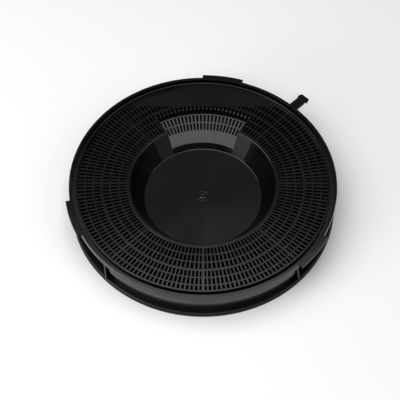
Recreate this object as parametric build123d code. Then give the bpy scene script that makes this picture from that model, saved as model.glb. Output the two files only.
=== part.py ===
from build123d import *
import os
from math import atan2, cos, degrees, radians, sin, tan

# A round bayonet cooker hood carbon filter, lying with its room side down.
# The origin is the middle of the flat base, the axis of the filter is Z and all lengths are millimetres.
# Angles are degrees counterclockwise from +X. The ramp into the cup faces +Y.

# Outer casing
CASING_R = 120.0
OVERALL_HEIGHT = 34.0
RIM_WALL = 3.0
RIM_ROUND = 0.9
SIDE_WALL = 2.4
WAIST_INSET = 3.4
WAIST_BELOW_RIM = 12.5
WAIST_ABOVE_FLANGE = 5.8
WAIST_BEND_SHARE = 0.175
FLOOR_THICK = 2.0
FLANGE_HEIGHT = 4.0
FLANGE_STEP_HEIGHT = 2.0
FLANGE_STEP = 0.7
LEDGE_THICK = 1.8
LEDGE_WIDTH = 4.0

# Bayonet tabs on the rim
TAB_ANGLES = (81.0, 199.2, 322.2)
TAB_ANGLE_WIDTH = 18.0
TAB_REACH = 3.8
TAB_THICK = 2.6
TAB_BELOW_RIM = 0.4

# Recesses in the side wall below and beside each tab
RECESS_DEPTH = 8.0
RECESS_START_ANGLE = 1.0
RECESS_AFTER_ANGLE = 16.4
POCKET_ANGLE = 3.2
WEB_THICK = 1.6
WEB_INSET = 0.4
BAND_HEIGHT = 5.8

# Finger lever on the rim
LEVER_ANGLE = 44.7
LEVER_REACH = 16.0
LEVER_WIDTH = 9.0
LEVER_THICK = 2.4
LEVER_HEAD_WIDTH = 11.4
LEVER_HEAD_LENGTH = 3.6
LEVER_PAD_RIBS = 3
LEVER_PAD_WIDTH = 7.2
LEVER_RIB_WIDTH = 0.8
LEVER_RIB_HEIGHT = 0.4
LEVER_RIB_PITCH = 2.0

# Room side grille in the casing floor
FLOOR_ROWS = 3
FLOOR_RING_WIDTH = 2.4
FLOOR_SLOTS_PER_SECTOR = 5
FLOOR_BORDER = 14.0
FLOOR_PLATE_BORDER = 3.4
FLOOR_SPIGOT_BORDER = 7.0
SPIGOT_INSET = 3.6
SPIGOT_WALL = 2.0

# Motor side cover
COVER_GAP = 2.2
COVER_THICK = 1.6
LIP_WIDTH = 2.2
LIP_STANDS = 3.4
LIP_ROUND = 0.6
RIM_ABOVE_GRILLE = 3.4
CUP_TOP_R = 65.3
CUP_TAPER = 11.7
CUP_FLOOR_HEIGHT = 9.6
CUP_WALL = 1.8
CUP_EDGE_ROUND = 1.2
CUP_FLOOR_ROUND = 1.0
GATE_RING_R = 2.2
GATE_RING_WIDTH = 0.7
GATE_RING_HEIGHT = 0.3

# Slots of the motor side grille
SECTORS = 8
SLOT_ROWS = 6
CUP_BORDER = 2.8
LIP_BORDER = 0.6
RING_WIDTH = 1.3
RING_EXTRA_AT_MIDDLE = 0.5
SLOTS_PER_SECTOR = 9
BAR_SHARE = 0.52
SECTOR_RIB_WIDTH = 3.4
PLAIN_SEGMENT_ROWS = 2
PLAIN_SEGMENT_PAST_RING = 4.2

# Sunken ramp from the grille down into the cup
RAMP_MIDDLE_ANGLE = 90.0
RAMP_ANGLE = 60.0
RAMP_STEP_INSET = 0.6
RAMP_STEP_RUN = 2.3
RAMP_TOP_DROP = 5.2
RAMP_FOOT_DROP = 14.6
RAMP_WALL = 1.6
RAMP_SLOTS = 18
RAMP_EDGE_ANGLE = 3.0

# Filling
FLEECE_THICK = 1.0
BED_CLEARANCE = 0.6
CUT_PAST = 1.0

# Heights and radii worked out from the driving dimensions
RIM_INNER_R = CASING_R - RIM_WALL
WAIST_R = CASING_R - WAIST_INSET
WAIST_START_Z = OVERALL_HEIGHT - WAIST_BELOW_RIM
WAIST_END_Z = FLANGE_HEIGHT + WAIST_ABOVE_FLANGE
WAIST_SLOPE = atan2(WAIST_INSET, WAIST_START_Z - WAIST_END_Z)
WAIST_BEND_R = WAIST_BEND_SHARE * WAIST_INSET / sin(WAIST_SLOPE) / tan(WAIST_SLOPE / 2)
LEDGE_R = RIM_INNER_R - LEDGE_WIDTH
RECESS_R = CASING_R - RECESS_DEPTH
FLOOR_PLATE_R = CASING_R - FLOOR_BORDER
COVER_R = RIM_INNER_R - COVER_GAP
CUP_FLOOR_R = CUP_TOP_R - CUP_TAPER
SPIGOT_R = CUP_FLOOR_R - SPIGOT_INSET
FLOOR_ROW_START_R = SPIGOT_R + FLOOR_SPIGOT_BORDER
FLOOR_ROW_END_R = FLOOR_PLATE_R - FLOOR_PLATE_BORDER
FLOOR_ROW_PITCH = (FLOOR_ROW_END_R + FLOOR_RING_WIDTH - FLOOR_ROW_START_R) / FLOOR_ROWS
FIRST_RING_R = CUP_TOP_R + CUP_BORDER
RING_PITCH = (COVER_R - LIP_WIDTH / 2 - FIRST_RING_R) / SLOT_ROWS
GRILLE_R = COVER_R - LIP_WIDTH - LIP_BORDER
PLAIN_SEGMENT_Y = FIRST_RING_R + PLAIN_SEGMENT_ROWS * RING_PITCH + PLAIN_SEGMENT_PAST_RING
RAMP_STEP_R = PLAIN_SEGMENT_Y - RAMP_STEP_INSET
RAMP_TOP_R = RAMP_STEP_R - RAMP_STEP_RUN
GRILLE_TOP = OVERALL_HEIGHT - RIM_ABOVE_GRILLE
COVER_UNDER = GRILLE_TOP - COVER_THICK
LEDGE_UNDER = COVER_UNDER - LEDGE_THICK
CUP_DEPTH = GRILLE_TOP - CUP_FLOOR_HEIGHT
CUP_FLOOR_UNDER = CUP_FLOOR_HEIGHT - CUP_WALL
BAND_UNDER = OVERALL_HEIGHT - BAND_HEIGHT
SHELF_R = RIM_INNER_R + RIM_WALL / 4
SECTOR_SPAN = 360 / SECTORS
BED_R = LEDGE_R - BED_CLEARANCE
BED_BOTTOM = FLOOR_THICK + FLEECE_THICK
BED_TOP = COVER_UNDER - FLEECE_THICK
RAMP_START = RAMP_MIDDLE_ANGLE - RAMP_ANGLE / 2
RAMP_END = RAMP_MIDDLE_ANGLE + RAMP_ANGLE / 2


def polar(radius, angle):
    """The point of the plan at a radius and an angle."""
    return (radius * cos(radians(angle)), radius * sin(radians(angle)))


def half_section(points, rounds=None):
    """A face in the XZ plane from (radius, height) points, with a rounding for each corner."""
    if rounds is None:
        outline = Polyline(*points, close=True)
    else:
        outline = FilletPolyline(*points, radius=rounds, close=True)
    return Plane.XZ * make_face(outline)


def turned(profile, start=0.0, span=360.0):
    """The solid that a half section sweeps from one angle round the Z axis."""
    return Rot(0, 0, start) * revolve(profile, axis=Axis.Z, revolution_arc=span)


def ring(inner, outer, bottom, top, start=0.0, span=360.0):
    """A plain ring, or a sector of one."""
    corners = ((inner, bottom), (outer, bottom), (outer, top), (inner, top))
    return turned(half_section(corners), start, span)


def radial_wall(points, angle, thick):
    """A flat wall standing along a radius, from its (radius, height) outline."""
    blank = extrude(half_section(points), amount=thick / 2, both=True)
    return Rot(0, 0, angle) * blank


def cup_radius(height, offset=0.0):
    """Radius of the cup's conical wall at a height, moved outwards by an offset."""
    share = (height - CUP_FLOOR_HEIGHT) / CUP_DEPTH
    return CUP_FLOOR_R + offset + share * (CUP_TOP_R - CUP_FLOOR_R)


def slot_angles(count, rib_width, radius, share):
    """Start and end angle of each slot of one row, for one sector that starts at 0."""
    rib = degrees(rib_width / radius)
    pitch = (SECTOR_SPAN - rib) / (count - share)
    slot = pitch * (1 - share)
    first = rib / 2
    return [(first + i * pitch, first + i * pitch + slot) for i in range(count)]


def slot_corners(inner, outer, start, end):
    """The four corners of a slot in plan, with straight sides along the radii."""
    return [polar(inner, start), polar(outer, start), polar(outer, end), polar(inner, end)]


def row_limits(row):
    """Inner and outer radius of the slots of a motor side row."""
    middle = SLOT_ROWS // 2
    inner = FIRST_RING_R + row * RING_PITCH + RING_WIDTH / 2
    outer = inner + RING_PITCH - RING_WIDTH
    if row == middle - 1:
        outer -= RING_EXTRA_AT_MIDDLE
    if row == middle:
        inner += RING_EXTRA_AT_MIDDLE
    return inner, min(outer, GRILLE_R)


def grille_slots():
    """Corners of every slot of the motor side grille outside the ramp and the plain segment."""
    slots = []
    for row in range(SLOT_ROWS):
        inner, outer = row_limits(row)
        for start, end in slot_angles(SLOTS_PER_SECTOR, SECTOR_RIB_WIDTH, inner, BAR_SHARE):
            for sector in range(SECTORS):
                turn = sector * SECTOR_SPAN
                corners = slot_corners(inner, outer, start + turn, end + turn)
                in_plain = max(y for x, y in corners) > PLAIN_SEGMENT_Y
                over_ramp = row < SLOT_ROWS // 2 and RAMP_START - RAMP_EDGE_ANGLE < start + turn < RAMP_END
                if not in_plain and not over_ramp:
                    slots.append(corners)
    return slots


def pierced_plate(outer_wire, inner_wires, slots, bottom, thick):
    """A flat plate with every slot as a hole in its face before it gets its thickness."""
    holes = [Wire.make_polygon([(x, y, bottom) for x, y in corners]) for corners in slots]
    face = Face(outer_wire, inner_wires + holes)
    return extrude(face, amount=thick, dir=(0, 0, 1))


def recesses():
    """Start and end angle of each recess in the side wall."""
    before = TAB_ANGLE_WIDTH / 2 - RECESS_START_ANGLE
    after = TAB_ANGLE_WIDTH / 2 + RECESS_AFTER_ANGLE
    return [(angle - before, angle + after) for angle in TAB_ANGLES]


def side_wall():
    """Outer wall with its waist, stepped flange, cover ledge and thick rounded rim."""
    outer = [
        (CASING_R - FLANGE_STEP, FLANGE_STEP_HEIGHT),
        (CASING_R - FLANGE_STEP, FLANGE_HEIGHT),
        (WAIST_R, FLANGE_HEIGHT),
        (WAIST_R, WAIST_END_Z),
        (CASING_R, WAIST_START_Z),
        (CASING_R, OVERALL_HEIGHT),
        (RIM_INNER_R, OVERALL_HEIGHT),
    ]
    inner = [
        (RIM_INNER_R, COVER_UNDER),
        (LEDGE_R, COVER_UNDER),
        (LEDGE_R, LEDGE_UNDER),
        (CASING_R - SIDE_WALL, LEDGE_UNDER),
        (CASING_R - SIDE_WALL, WAIST_START_Z),
        (WAIST_R - SIDE_WALL, WAIST_END_Z),
        (WAIST_R - SIDE_WALL, FLOOR_THICK),
        (FLOOR_PLATE_R, FLOOR_THICK),
        (FLOOR_PLATE_R, 0),
        (CASING_R, 0),
        (CASING_R, FLANGE_STEP_HEIGHT),
    ]
    outer_rounds = [0, 0, RIM_ROUND, WAIST_BEND_R, WAIST_BEND_R, RIM_ROUND, RIM_ROUND / 2]
    inner_rounds = [0, 0, 0, 0, WAIST_BEND_R, WAIST_BEND_R, 0, 0, 0, 0, 0]
    return turned(half_section(outer + inner, outer_rounds + inner_rounds))


def recess_shell(start, end):
    """Set-back wall, shelf and webs that close the casing behind one recess."""
    back = RECESS_R - SIDE_WALL
    first = start - POCKET_ANGLE
    span = end - start + 2 * POCKET_ANGLE
    parts = ring(back, RECESS_R, FLOOR_THICK / 2, COVER_UNDER, first, span)
    parts += ring(back, SHELF_R, LEDGE_UNDER, COVER_UNDER, first, span)
    web = (
        (back + SIDE_WALL / 2, FLOOR_THICK),
        (CASING_R - WEB_INSET - FLANGE_STEP, FLOOR_THICK),
        (CASING_R - WEB_INSET, FLANGE_HEIGHT + CUT_PAST),
        (CASING_R - WEB_INSET, BAND_UNDER + CUT_PAST),
        (back + SIDE_WALL / 2, BAND_UNDER + CUT_PAST / 2),
    )
    for angle in (start, end):
        parts += radial_wall(web, angle, WEB_THICK)
    cap_outer = WAIST_R - SIDE_WALL / 2
    cap = (
        (back, FLOOR_THICK / 2),
        (cap_outer, FLOOR_THICK / 2),
        (cap_outer, WAIST_END_Z),
        (CASING_R - SIDE_WALL / 2, WAIST_START_Z),
        (CASING_R - SIDE_WALL / 2, COVER_UNDER),
        (back, COVER_UNDER),
    )
    cap_half = degrees(SIDE_WALL / 2 / RECESS_R)
    for angle in (first - cap_half, first + span + cap_half):
        parts += radial_wall(cap, angle, SIDE_WALL)
    return parts


def bayonet_tab(angle):
    """One bayonet tab, rooted in the rim."""
    top = OVERALL_HEIGHT - TAB_BELOW_RIM
    root = CASING_R - RIM_WALL / 2
    start = angle - TAB_ANGLE_WIDTH / 2
    return ring(root, CASING_R + TAB_REACH, top - TAB_THICK, top, start, TAB_ANGLE_WIDTH)


def finger_lever():
    """Flat finger lever with a barbed head and a ribbed pad, rooted in the rim."""
    root = CASING_R - RIM_WALL / 2
    tip = CASING_R + LEVER_REACH
    half = LEVER_WIDTH / 2
    head = LEVER_HEAD_WIDTH / 2
    neck = tip - LEVER_HEAD_LENGTH
    outline = (
        (root, -half),
        (neck - LEVER_HEAD_LENGTH / 3, -half),
        (neck, -head),
        (tip, -head + LEVER_HEAD_LENGTH / 4),
        (tip, head - LEVER_HEAD_LENGTH / 4),
        (neck, head),
        (neck - LEVER_HEAD_LENGTH / 3, half),
        (root, half),
    )
    top = OVERALL_HEIGHT - TAB_BELOW_RIM
    plate = extrude(make_face(Polyline(*outline, close=True)), LEVER_THICK)
    lever = Pos(0, 0, top - LEVER_THICK) * plate
    rib_height = LEVER_RIB_HEIGHT + LEVER_THICK / 2
    rib = Box(LEVER_RIB_WIDTH, LEVER_PAD_WIDTH, rib_height)
    for i in range(LEVER_PAD_RIBS):
        middle = neck - (i + 0.5) * LEVER_RIB_PITCH
        lever += Pos(middle, 0, top + LEVER_RIB_HEIGHT - rib_height / 2) * rib
    return Rot(0, 0, LEVER_ANGLE) * lever


def floor_slots():
    """Corners of every slot of the room side grille."""
    slots = []
    for row in range(FLOOR_ROWS):
        inner = FLOOR_ROW_START_R + row * FLOOR_ROW_PITCH
        outer = inner + FLOOR_ROW_PITCH - FLOOR_RING_WIDTH
        for start, end in slot_angles(FLOOR_SLOTS_PER_SECTOR, SECTOR_RIB_WIDTH, inner, BAR_SHARE):
            for sector in range(SECTORS):
                turn = sector * SECTOR_SPAN
                slots.append(slot_corners(inner, outer, start + turn, end + turn))
    return slots


def make_casing():
    """The outer casing: one moulding with the wall, flange, room side grille, tabs and lever."""
    casing = side_wall()
    for start, end in recesses():
        first = start - POCKET_ANGLE
        span = end - start + 2 * POCKET_ANGLE
        pocket = (
            (RECESS_R - SIDE_WALL / 2, FLANGE_HEIGHT),
            (CASING_R + CUT_PAST, FLANGE_HEIGHT),
            (CASING_R + CUT_PAST, BAND_UNDER),
            (SHELF_R, BAND_UNDER),
            (SHELF_R, LEDGE_UNDER),
            (RECESS_R - SIDE_WALL / 2, LEDGE_UNDER),
        )
        casing -= turned(half_section(pocket), first, span)
        casing += recess_shell(start, end)
    for angle in TAB_ANGLES:
        casing += bayonet_tab(angle)
    casing += finger_lever()
    rim = Wire.make_circle(FLOOR_PLATE_R)
    casing += pierced_plate(rim, [], floor_slots(), 0, FLOOR_THICK)
    casing += ring(SPIGOT_R - SPIGOT_WALL, SPIGOT_R, FLOOR_THICK / 2, CUP_FLOOR_UNDER)
    return casing


def cup():
    """Cup wall and floor, with a rounded mouth and a rounded corner at the floor."""
    across = CUP_WALL / cos(atan2(CUP_TOP_R - CUP_FLOOR_R, CUP_DEPTH))
    points = [
        (0, CUP_FLOOR_UNDER),
        (cup_radius(CUP_FLOOR_UNDER, across), CUP_FLOOR_UNDER),
        (cup_radius(COVER_UNDER, across), COVER_UNDER),
        (FIRST_RING_R, COVER_UNDER),
        (FIRST_RING_R, GRILLE_TOP),
        (CUP_TOP_R, GRILLE_TOP),
        (CUP_FLOOR_R, CUP_FLOOR_HEIGHT),
        (0, CUP_FLOOR_HEIGHT),
    ]
    rounds = [0, CUP_FLOOR_ROUND, 0, 0, 0, CUP_EDGE_ROUND, CUP_FLOOR_ROUND, 0]
    gate_outer = GATE_RING_R + GATE_RING_WIDTH / 2
    gate_inner = GATE_RING_R - GATE_RING_WIDTH / 2
    gate = ring(gate_inner, gate_outer, CUP_FLOOR_HEIGHT - CUP_WALL / 2, CUP_FLOOR_HEIGHT + GATE_RING_HEIGHT)
    return turned(half_section(points, rounds)) + gate


def ramp_ends(offset):
    """Top and foot of the ramp's slope as (radius, height) points, lowered by an offset."""
    foot = GRILLE_TOP - RAMP_FOOT_DROP
    top = (RAMP_TOP_R, GRILLE_TOP - RAMP_TOP_DROP - offset)
    return top, (cup_radius(foot), foot - offset)


def ramp_opening():
    """The air above the ramp, between its two side walls."""
    top, foot = ramp_ends(0)
    inside = CUP_FLOOR_R - CUT_PAST
    corners = (
        (RAMP_STEP_R, GRILLE_TOP),
        top,
        foot,
        (inside, foot[1]),
        (inside, GRILLE_TOP + CUT_PAST),
        (RAMP_STEP_R, GRILLE_TOP + CUT_PAST),
    )
    return turned(half_section(corners), RAMP_START, RAMP_ANGLE)


def ramp_shell():
    """Ramp surface and its two side walls, filled up to the grille and not yet hollowed."""
    top, foot = ramp_ends(RAMP_WALL)
    join = GRILLE_TOP - COVER_THICK / 2
    corners = (
        (RAMP_STEP_R + RAMP_WALL, join),
        (RAMP_TOP_R + RAMP_WALL, top[1]),
        (foot[0] + CUP_WALL / 3, foot[1]),
        (cup_radius(join), join),
    )
    wall = degrees(RAMP_WALL / RAMP_TOP_R)
    return turned(half_section(corners), RAMP_START - wall, RAMP_ANGLE + 2 * wall)


def ramp_slot_cutters():
    """Upright cutters for the three slotted rows that cross the ramp, kept off the plain segment."""
    pitch = RAMP_ANGLE / RAMP_SLOTS
    slot = pitch * (1 - BAR_SHARE)
    bottom = GRILLE_TOP - RAMP_FOOT_DROP - 2 * RAMP_WALL
    faces = []
    for row in range(SLOT_ROWS // 2):
        inner, outer = row_limits(row)
        for i in range(RAMP_SLOTS):
            start = RAMP_START + i * pitch + (pitch - slot) / 2
            corners = slot_corners(inner, outer, start, start + slot)
            corners = [(x, min(y, PLAIN_SEGMENT_Y)) for x, y in corners]
            faces.append(Face(Wire.make_polygon([(x, y, bottom) for x, y in corners])))
    return [extrude(face, amount=GRILLE_TOP - bottom + CUT_PAST, dir=(0, 0, 1)) for face in faces]


def make_cover():
    """The motor side cover: one moulding with the grille, lip, cup, ramp and plain segment."""
    rim = Wire.make_circle(COVER_R, Plane.XY.offset(COVER_UNDER))
    mouth = Wire.make_circle(FIRST_RING_R, Plane.XY.offset(COVER_UNDER))
    cover = pierced_plate(rim, [mouth], grille_slots(), COVER_UNDER, COVER_THICK)
    lip = (
        (COVER_R - LIP_WIDTH, COVER_UNDER + COVER_THICK / 2),
        (COVER_R, COVER_UNDER + COVER_THICK / 2),
        (COVER_R, GRILLE_TOP + LIP_STANDS),
        (COVER_R - LIP_WIDTH, GRILLE_TOP + LIP_STANDS),
    )
    cover += turned(half_section(lip, [0, 0, LIP_ROUND, LIP_ROUND]))
    cover += cup()
    cover += ramp_shell()
    cover -= ramp_opening()
    return cover - ramp_slot_cutters()


def off_cup():
    """How far the filling stays off the cup's inner surface, along a radius."""
    slope = atan2(CUP_TOP_R - CUP_FLOOR_R, CUP_DEPTH)
    return (CUP_WALL + BED_CLEARANCE) / cos(slope)


def ramp_notch(section):
    """Room left in the filling for the ramp, from the half section of that room."""
    margin = degrees((RAMP_WALL + BED_CLEARANCE) / FIRST_RING_R)
    return turned(half_section(section), RAMP_START - margin, RAMP_ANGLE + 2 * margin)


def recess_notches(bottom, top):
    """Room left in the filling for the set-back walls of the recesses."""
    inner = RECESS_R - SIDE_WALL - BED_CLEARANCE
    margin = POCKET_ANGLE + degrees((SIDE_WALL + BED_CLEARANCE) / inner)
    outer = BED_R + CUT_PAST
    notches = []
    for start, end in recesses():
        span = end - start + 2 * margin
        notches.append(ring(inner, outer, bottom - CUT_PAST, top + CUT_PAST, start - margin, span))
    return notches


def make_carbon_bed():
    """Activated carbon between the two fleeces, round the cup and below the ramp."""
    low_r = cup_radius(CUP_FLOOR_HEIGHT, off_cup())
    section = (
        (low_r, BED_BOTTOM),
        (BED_R, BED_BOTTOM),
        (BED_R, BED_TOP),
        (cup_radius(BED_TOP, off_cup()), BED_TOP),
        (low_r, CUP_FLOOR_HEIGHT),
    )
    bed = turned(half_section(section))
    bed -= recess_notches(BED_BOTTOM, BED_TOP)
    under = GRILLE_TOP - RAMP_FOOT_DROP - RAMP_WALL - BED_CLEARANCE
    below_top = GRILLE_TOP - RAMP_TOP_DROP - RAMP_WALL - BED_CLEARANCE
    sunk = (
        (CUP_FLOOR_R, under),
        (cup_radius(GRILLE_TOP - RAMP_FOOT_DROP), under),
        (RAMP_TOP_R + RAMP_WALL + BED_CLEARANCE, below_top),
        (RAMP_STEP_R + RAMP_WALL + BED_CLEARANCE, BED_TOP + CUT_PAST),
        (CUP_FLOOR_R, BED_TOP + CUT_PAST),
    )
    return bed - ramp_notch(sunk)


def make_upper_fleece():
    """Nonwoven ring between the carbon and the motor side grille."""
    fleece = ring(cup_radius(COVER_UNDER, off_cup()), BED_R, BED_TOP, COVER_UNDER)
    fleece -= recess_notches(BED_TOP, COVER_UNDER)
    outer = RAMP_STEP_R + RAMP_WALL + BED_CLEARANCE
    bottom = BED_TOP - CUT_PAST
    top = COVER_UNDER + CUT_PAST
    return fleece - ramp_notch(((CUP_FLOOR_R, bottom), (outer, bottom), (outer, top), (CUP_FLOOR_R, top)))


def make_lower_fleece():
    """Nonwoven ring between the room side grille and the carbon."""
    fleece = ring(SPIGOT_R + BED_CLEARANCE, BED_R, FLOOR_THICK, BED_BOTTOM)
    return fleece - recess_notches(FLOOR_THICK, BED_BOTTOM)


SUBPARTS = {
    "casing": make_casing,
    "motor_side_cover": make_cover,
    "carbon_bed": make_carbon_bed,
    "upper_fleece": make_upper_fleece,
    "lower_fleece": make_lower_fleece,
}

os.makedirs("parts", exist_ok=True)
for name, make in SUBPARTS.items():
    export_step(make(), f"parts/{name}.step")
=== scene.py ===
"""Looks of a round bayonet charcoal filter for a cooker hood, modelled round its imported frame."""

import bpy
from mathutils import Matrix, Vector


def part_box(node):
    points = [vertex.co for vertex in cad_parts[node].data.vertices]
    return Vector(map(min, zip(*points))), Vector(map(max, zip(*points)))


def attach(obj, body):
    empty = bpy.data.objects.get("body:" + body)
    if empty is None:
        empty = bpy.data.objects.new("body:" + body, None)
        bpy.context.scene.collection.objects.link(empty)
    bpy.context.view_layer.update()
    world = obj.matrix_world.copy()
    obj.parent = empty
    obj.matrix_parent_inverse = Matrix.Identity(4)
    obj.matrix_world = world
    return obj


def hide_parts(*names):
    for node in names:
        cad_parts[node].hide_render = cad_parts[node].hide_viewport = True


bl_info = {
    "name": "Cooker hood carbon filter",
    "version": (1, 0, 0),
    "blender": (4, 5, 0),
    "location": "View3D > Sidebar > Filter",
    "description": "Models the moulded casing, the slotted cover, the filling and the studio",
    "category": "Object",
}

from math import atan2, cos, pi, radians, sin, tau
from types import SimpleNamespace

import bmesh
import bpy
from mathutils import Matrix, Vector
from mathutils import noise as hills

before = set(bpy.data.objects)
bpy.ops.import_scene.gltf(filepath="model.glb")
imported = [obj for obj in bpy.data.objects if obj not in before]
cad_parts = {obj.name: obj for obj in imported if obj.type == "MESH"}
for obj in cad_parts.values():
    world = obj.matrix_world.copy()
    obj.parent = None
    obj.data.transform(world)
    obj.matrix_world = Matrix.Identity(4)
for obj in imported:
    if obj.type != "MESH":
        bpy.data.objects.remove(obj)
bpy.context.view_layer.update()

MM = 0.001
HEIGHT_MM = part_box("casing")[1][2] / MM

# Steps of a full turn, and the angle from which an edge is shaded sharp
STEPS_ROUND = 256
SHARP_ANGLE = radians(35)

# Middles of the bayonet tabs in degrees
TAB_ANGLES = (81.0, 199.2, 322.2)

# Points nearer than this are one
TINY = 1e-6

# How far solids of one moulding run into each other
WELD = 0.5 * MM
SINK = 0.3 * MM
LAP = 0.2 * MM

# Small offsets that keep two faces out of one plane
HAIR = 0.05 * MM
FILM = 0.02 * MM

# Rounding of edges that have no size of their own
EDGE = 0.3 * MM

# How far a bar's top lies below its rings
BAR_DROP = 0.12 * MM

# Thickness of the cup's leaning wall, measured level
CUP_SKIN = 2.1 * MM


def length(label, about, millimetres):
    """A length property, given in millimetres and kept in metres."""
    return bpy.props.FloatProperty(
        name=label, description=about, default=millimetres * MM, unit="LENGTH", precision=4
    )


def turn(label, about, angle):
    """An angle property, given in degrees."""
    return bpy.props.FloatProperty(name=label, description=about, default=radians(angle), unit="ROTATION")


def number(label, about, value):
    """A plain number property."""
    return bpy.props.FloatProperty(name=label, description=about, default=value, precision=3)


def count(label, about, value):
    """A whole number property."""
    return bpy.props.IntProperty(name=label, description=about, default=value, min=1)


def colour(label, about, value):
    """A colour property."""
    return bpy.props.FloatVectorProperty(
        name=label, description=about, default=value, size=3, subtype="COLOR", min=0.0, max=1.0
    )


class FilterCasingSizes(bpy.types.PropertyGroup):
    """Sizes of the outer moulding."""

    radius: length("Radius", "From the axis to the outer face of the rim", 120.0)
    height: length("Height", "From the flat base to the top of the rim", HEIGHT_MM)
    rim_wall: length("Rim wall", "Thickness of the rim", 2.5)
    rim_round: length("Rim rounding", "Rounding of the rim's outer top edge", 0.3)
    rim_inner_round: length("Rim inner rounding", "Rounding of the rim's inner top edge", 0.12)
    band: length("Rim band", "Height of the full wall band above the recesses", 5.8)
    wall: length("Side wall", "Thickness of the side wall", 2.4)
    waist_inset: length("Waist inset", "How far the waist lies inside the rim", 5.0)
    waist_top: length("Waist top", "Height where the wall starts to narrow", 23.5)
    waist_low: length("Waist foot", "Height where the wall is narrowest", 8.1)
    top_bend: length("Top bend", "How far the bend at the waist's top reaches", 5.0)
    foot_bend: length("Foot bend", "How far the bend at the waist's foot reaches", 2.0)
    ledge_width: length("Ledge width", "Width of the ledge that carries the cover", 4.5)
    ledge_thick: length("Ledge thickness", "Thickness of the ledge", 1.8)
    floor: length("Floor", "Thickness of the floor and its grille", 2.0)
    flange: length("Flange height", "Height of the flange at the base", 4.0)
    flange_step: length("Flange step", "Inset of the flange's upper half", 0.7)
    flange_round: length("Flange rounding", "Rounding of the flange's upper edge", 0.9)
    flange_foot: length("Flange foot", "Rounding of the flange's lowest edge", 0.4)
    flange_lip: length("Flange lip", "Rounding of the edge at the flange's step", 0.35)
    spigot_inset: length("Spigot inset", "How far the spigot lies inside the cup's floor", 3.6)
    spigot_wall: length("Spigot wall", "Thickness of the spigot", 2.0)
    grille_start: length("Floor disc", "From the spigot to the first slots in the floor", 7.0)
    grille_border: length("Floor border", "From the rim's face to the last slots in the floor", 17.4)
    grille_rows: count("Floor rows", "Rows of slots in the floor", 3)
    grille_bars: count("Floor bars", "Bars in a sector of the floor's grille", 12)
    grille_ring: length("Floor ring", "Width of a ring in the floor's grille", 2.4)
    grille_rib: length("Floor rib", "Width of the eight ribs in the floor's grille", 3.4)
    grille_share: number("Floor bar share", "Share of the pitch that a floor bar takes up", 0.5)
    recess_depth: length("Recess depth", "From the rim's face to the set-back wall", 8.0)
    web: length("Web", "Thickness of the walls at a recess's ends", 1.6)
    web_inset: length("Web inset", "How far a web stays inside the rim's face", 0.4)
    web_round: length("Web rounding", "Rounding of a web's edges", 0.2)
    recess_start: turn("Recess start", "From a tab's start on to its recess's first web", 1.0)
    after_tab: turn("After tab", "From a tab's end on to its recess's second web", 16.4)
    web_lean: number("Web lean", "How far a recess's first web leans, over its height", 0.2)
    pocket: turn("Pocket", "Open span beyond each web", 3.2)
    tab_span: turn("Tab span", "Width of a bayonet tab", 18.0)
    tab_reach: length("Tab reach", "How far a tab stands out of the rim", 3.8)
    tab_thick: length("Tab thickness", "Thickness of a bayonet tab", 2.6)
    tab_drop: length("Tab drop", "From the rim's top to a tab's top", 0.4)
    tab_low_round: length("Tab lower rounding", "Rounding of a tab's lower edge", 0.5)
    tab_top_round: length("Tab upper rounding", "Rounding of a tab's upper edge", 0.6)
    lever_angle: turn("Lever place", "Where the finger lever stands", 45.2)
    lever_reach: length("Lever reach", "How far the finger lever stands out", 17.0)
    lever_width: length("Lever width", "Width of the lever's stem", 9.0)
    lever_head: length("Lever head width", "Width over the barbed head", 11.4)
    lever_head_length: length("Lever head length", "Length of the barbed head", 4.6)
    lever_thick: length("Lever thickness", "Thickness of the finger lever", 2.4)
    lever_groove: length("Lever groove", "Width of the groove behind the barbed head", 1.0)
    lever_round: length("Lever rounding", "Rounding of the lever's edges", 0.35)
    pad_ribs: count("Pad ribs", "Ribs across the lever's pad", 3)
    pad_rib: length("Pad rib width", "Width of a rib on the lever's pad", 0.8)
    pad_pitch: length("Pad rib pitch", "From one pad rib to the next", 2.0)
    pad_height: length("Pad rib height", "How far a rib stands out of the pad", 0.4)
    pad_share: number("Pad rib share", "Share of the lever's width that a rib spans", 0.8)


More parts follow.
